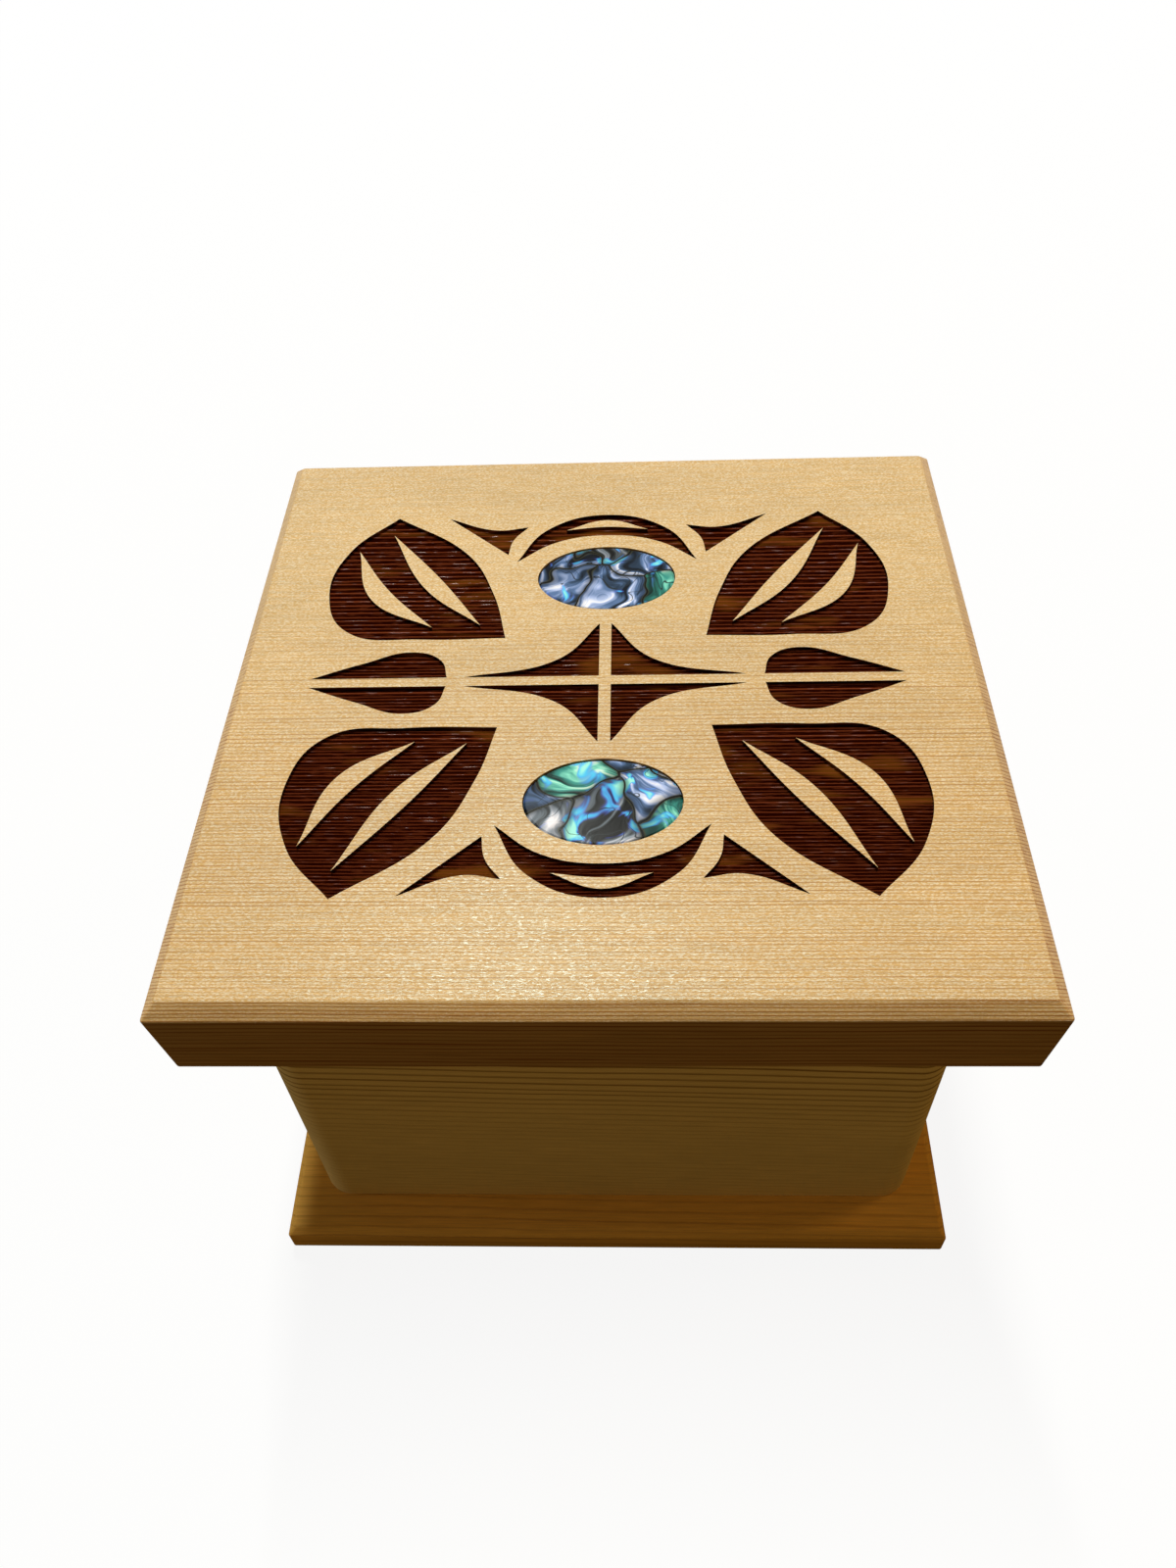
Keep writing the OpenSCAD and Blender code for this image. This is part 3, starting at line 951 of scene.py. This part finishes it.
class BENTWOOD_OT_base_board(bpy.types.Operator):
    """Planes the base board, with its bevel and the raised panel that its rabbet leaves"""

    bl_idname = "bentwood.base_board"
    bl_label = "Base board"

    def execute(self, context):
        sizes, colours = chosen(context)
        foot, margin_top, panel_top = BASE_LO.z, PLANK_LO.z, BASE_HI.z
        edge = [(0, foot), (0, margin_top - sizes.base_bevel), (sizes.base_bevel, margin_top)]
        base = board("rabbeted_base_board", BASE_HI.x, BASE_HI.y, edge, sizes, wood_finish("base", colours))
        panel_half = INSIDE - sizes.panel_gap
        panel_edge = [(0, (foot + margin_top) / 2), (0, panel_top)]
        cut(base, board("panel", panel_half, panel_half, panel_edge, sizes), "UNION")
        cut(base, peg_holes("base_holes", base_peg_places(), PEG_UP, BASE_PEG_REACH, sizes))
        lay_grain(base, along_x)
        seat(base, "box", "base_board")
        return {"FINISHED"}


# Lid

TIP, ROUND = "VECTOR", "AUTO"

# Ornament of the lid in millimetres from its middle: tapering leaves, a four-pointed star and crescents.
# One quarter is drawn and mirrored to the other three. Shapes on the middle line are mirrored front to
# back only.
QUARTER_SHAPES = [
    [(20.5, 12.5, TIP), (38, 12.4, ROUND), (53, 14.5, ROUND), (59, 26, ROUND), (56.5, 41, ROUND),
     (47, 52.5, TIP), (30.5, 39.5, ROUND), (23.8, 26, ROUND)],
    [(26, 16.5, TIP), (38.5, 28, ROUND), (47.5, 46.5, TIP), (35.4, 31, ROUND)],
    [(36, 16, TIP), (49.5, 24.5, ROUND), (54.5, 41, TIP), (46.2, 27.5, ROUND)],
    [(1.2, 1.2, TIP), (28, 1.2, TIP), (9.5, 6, ROUND), (1.2, 16.5, TIP)],
    [(31.5, 1.2, TIP), (59, 1.2, TIP), (49, 5.4, ROUND), (39, 8.6, ROUND), (33.2, 6.2, ROUND)],
    [(21.5, 39, TIP), (35.5, 52, TIP), (24.5, 47.6, ROUND), (17.5, 48.5, TIP), (20.6, 44, ROUND)],
]
MIDDLE_SHAPES = [
    [(19.5, 36.5, TIP), (13, 47.6, ROUND), (0, 52.5, ROUND), (-13, 47.6, ROUND), (-19.5, 36.5, TIP),
     (-11, 43, ROUND), (0, 45.2, ROUND), (11, 43, ROUND)],
    [(9, 47.2, TIP), (0, 50.6, ROUND), (-9, 47.2, TIP), (0, 48.2, ROUND)],
]
# Reach of the carved ground's block, past the ornament on every side
GROUND_HALF_X = 61 * MM
GROUND_HALF_Y = 55 * MM
GROUND_COLUMNS = 25
GROUND_ROWS_PER_MM = 9
# Small cells of the lid's top, which keep the cut faces simple
LID_CELL = 7.37 * MM
LID_CELLS = 18
# How far the ornament's solid reaches up and down, and the steps between two points of its outlines
ORNAMENT_REACH = 2 * MM
ORNAMENT_STEPS = 14


def ornament(top, material):
    """The ornament's outlines as one solid that runs down through the lid's top, with islands left open."""
    curve = bpy.data.curves.new("ornament", "CURVE")
    curve.dimensions = "2D"
    curve.fill_mode = "BOTH"
    curve.extrude = ORNAMENT_REACH
    curve.resolution_u = ORNAMENT_STEPS
    shapes = [(s, sx, sy) for s in QUARTER_SHAPES for sx in (1, -1) for sy in (1, -1)]
    shapes += [(s, 1, sy) for s in MIDDLE_SHAPES for sy in (1, -1)]
    for corners, sx, sy in shapes:
        spline = curve.splines.new("BEZIER")
        spline.use_cyclic_u = True
        spline.bezier_points.add(len(corners) - 1)
        for knot, (x, y, handle) in zip(spline.bezier_points, corners):
            knot.co = (sx * x * MM, sy * y * MM, 0)
            knot.handle_left_type = knot.handle_right_type = handle
    drawing = bpy.data.objects.new("ornament_lines", curve)
    bpy.context.scene.collection.objects.link(drawing)
    filled = drawing.evaluated_get(bpy.context.evaluated_depsgraph_get())
    shape = bmesh.new()
    shape.from_mesh(bpy.data.meshes.new_from_object(filled))
    bpy.data.objects.remove(drawing)
    bmesh.ops.remove_doubles(shape, verts=shape.verts, dist=WELD)
    bmesh.ops.recalc_face_normals(shape, faces=shape.faces)
    bmesh.ops.translate(shape, verts=shape.verts, vec=(0, 0, top))
    return to_piece("ornament", shape, material)


def carved_ground():
    """A node tree for a block with a ridged underside: hard late wood stands up from the carved ground."""
    tree, inputs = new_tree(
        "carved_ground", Width="NodeSocketFloat", Depth="NodeSocketFloat", Rows="NodeSocketInt",
        Floor="NodeSocketFloat", Ridge_height="NodeSocketFloat", Headroom="NodeSocketFloat",
        Stain="NodeSocketMaterial",
    )
    grid = add(
        tree, "GeometryNodeMeshGrid",
        {"Size X": inputs["Width"], "Size Y": inputs["Depth"], "Vertices X": GROUND_COLUMNS,
         "Vertices Y": inputs["Rows"]},
    )
    spot = add(tree, "ShaderNodeSeparateXYZ", {0: add(tree, "GeometryNodeInputPosition")})
    x, y, floor = spot.outputs["X"], spot.outputs["Y"], inputs["Floor"]
    level = add(tree, "ShaderNodeCombineXYZ", {0: x, 1: y, 2: floor})
    hard = late_wood(tree, in_millimetres(tree, level), GROUND_TIMBER)
    height = add(tree, MATH, {0: hard, 1: inputs["Ridge height"], 2: floor}, operation="MULTIPLY_ADD")
    ridged = add(tree, "ShaderNodeCombineXYZ", {0: x, 1: y, 2: height})
    ground = add(tree, "GeometryNodeSetPosition", {"Geometry": grid, "Position": ridged})
    upward = add(tree, "ShaderNodeCombineXYZ", {"Z": inputs["Headroom"]})
    block = add(tree, "GeometryNodeExtrudeMesh", {"Mesh": ground, "Offset": upward, "Individual": False})
    underside = add(tree, "GeometryNodeFlipFaces", {"Mesh": ground})
    both = add(tree, "GeometryNodeJoinGeometry", {"Geometry": [block, underside]})
    closed = add(tree, "GeometryNodeMergeByDistance", {"Geometry": both, "Distance": WELD})
    real = add(tree, "GeometryNodeRealizeInstances", {"Geometry": closed})
    stained = add(tree, "GeometryNodeSetMaterial", {"Geometry": real, "Material": inputs["Stain"]})
    add(tree, "NodeGroupOutput", {"Geometry": stained})
    return tree


class BENTWOOD_OT_lid_board(bpy.types.Operator):
    """Planes the lid, carves its stained ornament and sinks pockets for the shell"""

    bl_idname = "bentwood.lid_board"
    bl_label = "Lid board"

    # How far up a face looks to be the top, and to be the bevel, and how much rubbing and painted glint the
    # bevel gets
    top_look = 0.9
    bevel_look = 0.3
    bevel_rub_and_glints = 0.25

    def execute(self, context):
        sizes, colours = chosen(context)
        foot, top = LID_LO.z, LID_HI.z
        wood = wood_finish("lid", colours)
        stain = finish("stained_cedar_ground", stained_cedar, colours)
        edge = [(sizes.lid_lean, foot), (0, top - sizes.lid_bevel), (sizes.lid_bevel, top)]
        lid = board("carved_lid_board", LID_HI.x, LID_HI.y, edge, sizes, wood)
        score(lid, [(i - (LID_CELLS - 1) / 2) * LID_CELL for i in range(LID_CELLS)])
        carving = ornament(top, stain)
        ground = grow("ground", carved_ground(), [], {
            "Width": 2 * GROUND_HALF_X, "Depth": 2 * GROUND_HALF_Y,
            "Rows": round(2 * GROUND_HALF_Y / MM * GROUND_ROWS_PER_MM),
            "Floor": top - sizes.carving_depth, "Ridge height": sizes.ridge_height,
            "Headroom": sizes.carving_depth + OVER, "Stain": stain,
        })
        cut(carving, ground, "INTERSECT")
        cut(lid, carving)
        for node in SHELL_NODES:
            low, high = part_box(node)
            middle = (low + high) / 2
            pocket = oval((high.x - low.x) / 2 + sizes.inlay_gap, (high.y - low.y) / 2 + sizes.inlay_gap)
            cut(lid, prism("pocket", moved(pocket, middle.x, middle.y), low.z, top + OVER, wood))
        lay_grain(lid, along_x, self.wear)
        seat(lid, "lid", "lid_board")
        return {"FINISHED"}

    def wear(self, centre, normal):
        """The top is rubbed bright with painted glints, the bevel a little, and the four sides get painted
        shade.
        """
        if normal.z > self.top_look:
            return 1
        if normal.z > self.bevel_look:
            return self.bevel_rub_and_glints
        return -1 if normal.z > -self.bevel_look else 0


class BENTWOOD_OT_lid_plug(bpy.types.Operator):
    """Planes the plug board that keeps the lid in place"""

    bl_idname = "bentwood.lid_plug"
    bl_label = "Lid plug"

    def execute(self, context):
        sizes, colours = chosen(context)
        edge = [(sizes.plug_bevel, PLUG_LO.z), (0, PLUG_LO.z + sizes.plug_bevel), (0, PLUG_HI.z)]
        plug = board("lid_plug_board", PLUG_HI.x, PLUG_HI.y, edge, sizes, wood_finish("lid", colours))
        lay_grain(plug, along_x)
        seat(plug, "lid", "lid_plug")
        return {"FINISHED"}


class BENTWOOD_OT_shell_inlays(bpy.types.Operator):
    """Grinds and polishes the two oval shell inlays"""

    bl_idname = "bentwood.shell_inlays"
    bl_label = "Shell inlays"

    def execute(self, context):
        sizes, _ = chosen(context)
        ease, dome = sizes.edge_ease, sizes.inlay_dome
        for node in SHELL_NODES:
            low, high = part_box(node)
            middle, half = (low + high) / 2, (high - low) / 2
            edge = [(0.0, low.z), (0.0, high.z - dome - ease)]
            for step in range(DOME_STEPS):
                inward = step / DOME_STEPS
                edge.append((ease + inward * (half.y - ease), high.z - dome * (1 - inward) ** 2))
            layers = [
                (moved(oval(half.x - inset * half.x / half.y, half.y - inset), middle.x, middle.y), height)
                for inset, height in edge
            ]
            shell = stack(node + "_shell", layers, finish("polished_abalone", polished_abalone))
            seat(shell, "lid", node)
        return {"FINISHED"}


# Stage

class BENTWOOD_OT_stage(bpy.types.Operator):
    """Lays the floor and sets the light and the camera"""

    bl_idname = "bentwood.stage"
    bl_label = "Stage"

    # The camera's place, its turns about X, Y and Z in degrees, and its lens and sensor in millimetres
    camera_place = Vector((6.935, -175.337, 277.421)) * MM
    camera_turn = (40.507, 2.211, 1.157)
    camera_lens = 28.597
    camera_sensor = 36
    # A long narrow lamp high behind the box, a touch to the left, a broad warm glow from the front,
    # a weak orange lamp on the right and a weak pale one low on the left. Each is its name, its place,
    # its width and height in metres, its power in watts and its tint
    lamps = (
        ("key", (-0.14, 0.8, 2.55), 0.08, 1.7, 65.5, (0.98, 1.0, 0.95)),
        ("glow", (0.5, -1.6, 1.4), 1.2, 1.2, 4.35, (1.0, 0.7, 0.3)),
        ("side", (1.5, 0.6, 0.9), 0.5, 0.5, 4.4, (1.0, 0.6, 0.2)),
        ("edge", (-1.5, -0.05, 0.22), 0.4, 0.4, 3.2, (1.0, 0.97, 0.93)),
    )
    room_fill = (0.03, 0.024, 0.014, 1.0)
    white = (1.0, 1.0, 1.0, 1.0)
    # Half the floor's width, and how far under the base it lies
    floor_half = 4.0
    floor_drop = 0.05 * MM
    # The floor is this white near the box, which leaves room for a shadow, and fades to pure white
    # between these distances in metres
    near_white = 0.9
    white_fade = (0.25, 0.9)

    def execute(self, context):
        self.lay_floor(context)
        self.light(context)
        self.set_camera(context)
        context.scene.view_settings.view_transform = "Standard"
        return {"FINISHED"}

    def seen(self, tree):
        """1 for rays that look at the stage, straight or in a reflection, and 0 for its own light."""
        path = add(tree, "ShaderNodeLightPath").outputs
        seen = path["Is Camera Ray"]
        for ray in ("Is Glossy Ray", "Is Transmission Ray"):
            seen = add(tree, MATH, {0: seen, 1: path[ray]}, operation="MAXIMUM")
        return seen

    def lay_floor(self, context):
        """Lays a wide floor under the box."""
        _, colours = chosen(context)
        material = finish("pale_floor", self.floor_surface, colours)
        half = self.floor_half
        shape = bmesh.new()
        shape.faces.new([shape.verts.new((x * half, y * half, -self.floor_drop)) for x, y in CORNER_SIGNS])
        floor = to_piece("floor", shape, material)

    def floor_surface(self, tree, colours):
        """Matt floor that looks white, takes the box's shadow and sends back light as a warm table does."""
        seen = self.seen(tree)
        tone = add(
            tree, MIX, {"Factor": seen, "A": colours.table_bounce, "B": colours.floor},
            data_type="RGBA",
        )
        matt = add(tree, "ShaderNodeBsdfDiffuse", {"Color": tone})
        bright = add(tree, "ShaderNodeEmission", {"Color": self.white, "Strength": 1.0})
        spot = add(tree, "ShaderNodeTexCoord").outputs["Object"]
        distance = add(tree, VECTOR, {0: spot}, operation="LENGTH").outputs["Value"]
        near, far = self.white_fade
        pure = add(
            tree, RANGE,
            {"Value": distance, "From Min": near, "From Max": far, "To Min": self.near_white},
        )
        share = add(tree, MATH, {0: seen, 1: pure}, operation="MULTIPLY")
        return add(tree, "ShaderNodeMixShader", {0: share, 1: matt, 2: bright})

    def light(self, context):
        """Lamps that look at the box, in a dim warm room that looks white."""
        for name, place, wide, tall, power, tint in self.lamps:
            lamp = bpy.data.lights.new(name, "AREA")
            lamp.shape = "RECTANGLE"
            lamp.size = wide
            lamp.size_y = tall
            lamp.energy = power
            lamp.color = tint
            stand = bpy.data.objects.new(name, lamp)
            stand.location = place
            stand.rotation_euler = (-Vector(place)).to_track_quat("-Z", "Y").to_euler()
            context.scene.collection.objects.link(stand)
        world = bpy.data.worlds.new("soft_room")
        world.use_nodes = True
        tree = world.node_tree
        tree.nodes.clear()
        glow = add(
            tree, MIX,
            {"Factor": self.seen(tree), "A": self.room_fill, "B": self.white}, data_type="RGBA",
        )
        add(tree, "ShaderNodeOutputWorld", {"Surface": add(tree, "ShaderNodeBackground", {"Color": glow})})
        context.scene.world = world

    def set_camera(self, context):
        """The photo's camera."""
        camera = bpy.data.cameras.new("camera")
        camera.sensor_width = self.camera_sensor
        camera.lens = self.camera_lens
        camera.clip_start = 1 * MM
        viewer = bpy.data.objects.new("camera", camera)
        viewer.location = self.camera_place
        viewer.rotation_euler = [math.radians(a) for a in self.camera_turn]
        context.scene.collection.objects.link(viewer)
        context.scene.camera = viewer


PIECES = (
    BENTWOOD_OT_side_plank, BENTWOOD_OT_corner_pegs, BENTWOOD_OT_base_board, BENTWOOD_OT_base_pegs,
    BENTWOOD_OT_lid_board, BENTWOOD_OT_lid_plug, BENTWOOD_OT_shell_inlays, BENTWOOD_OT_stage,
)


class BENTWOOD_PT_box(bpy.types.Panel):
    """Lists the pieces of the box, with its sizes and colours"""

    bl_idname = "BENTWOOD_PT_box"
    bl_label = "Bentwood box"
    bl_space_type = "VIEW_3D"
    bl_region_type = "UI"
    bl_category = "Bentwood"

    def draw(self, context):
        for piece in PIECES:
            self.layout.operator(piece.bl_idname)
        for settings in chosen(context):
            for name in settings.__annotations__:
                self.layout.prop(settings, name)


CLASSES = (BentwoodSizes, BentwoodColours, *PIECES, BENTWOOD_PT_box)


def register():
    for kind in CLASSES:
        bpy.utils.register_class(kind)
    bpy.types.Scene.bentwood_sizes = PointerProperty(type=BentwoodSizes)
    bpy.types.Scene.bentwood_colours = PointerProperty(type=BentwoodColours)


def unregister():
    del bpy.types.Scene.bentwood_colours
    del bpy.types.Scene.bentwood_sizes
    for kind in reversed(CLASSES):
        bpy.utils.unregister_class(kind)


def main():
    """Makes every piece and the stage."""
    register()
    bpy.ops.bentwood.side_plank()
    bpy.ops.bentwood.corner_pegs()
    bpy.ops.bentwood.base_board()
    bpy.ops.bentwood.base_pegs()
    bpy.ops.bentwood.lid_board()
    bpy.ops.bentwood.lid_plug()
    bpy.ops.bentwood.shell_inlays()
    bpy.ops.bentwood.stage()


if __name__ == "__main__":
    main()
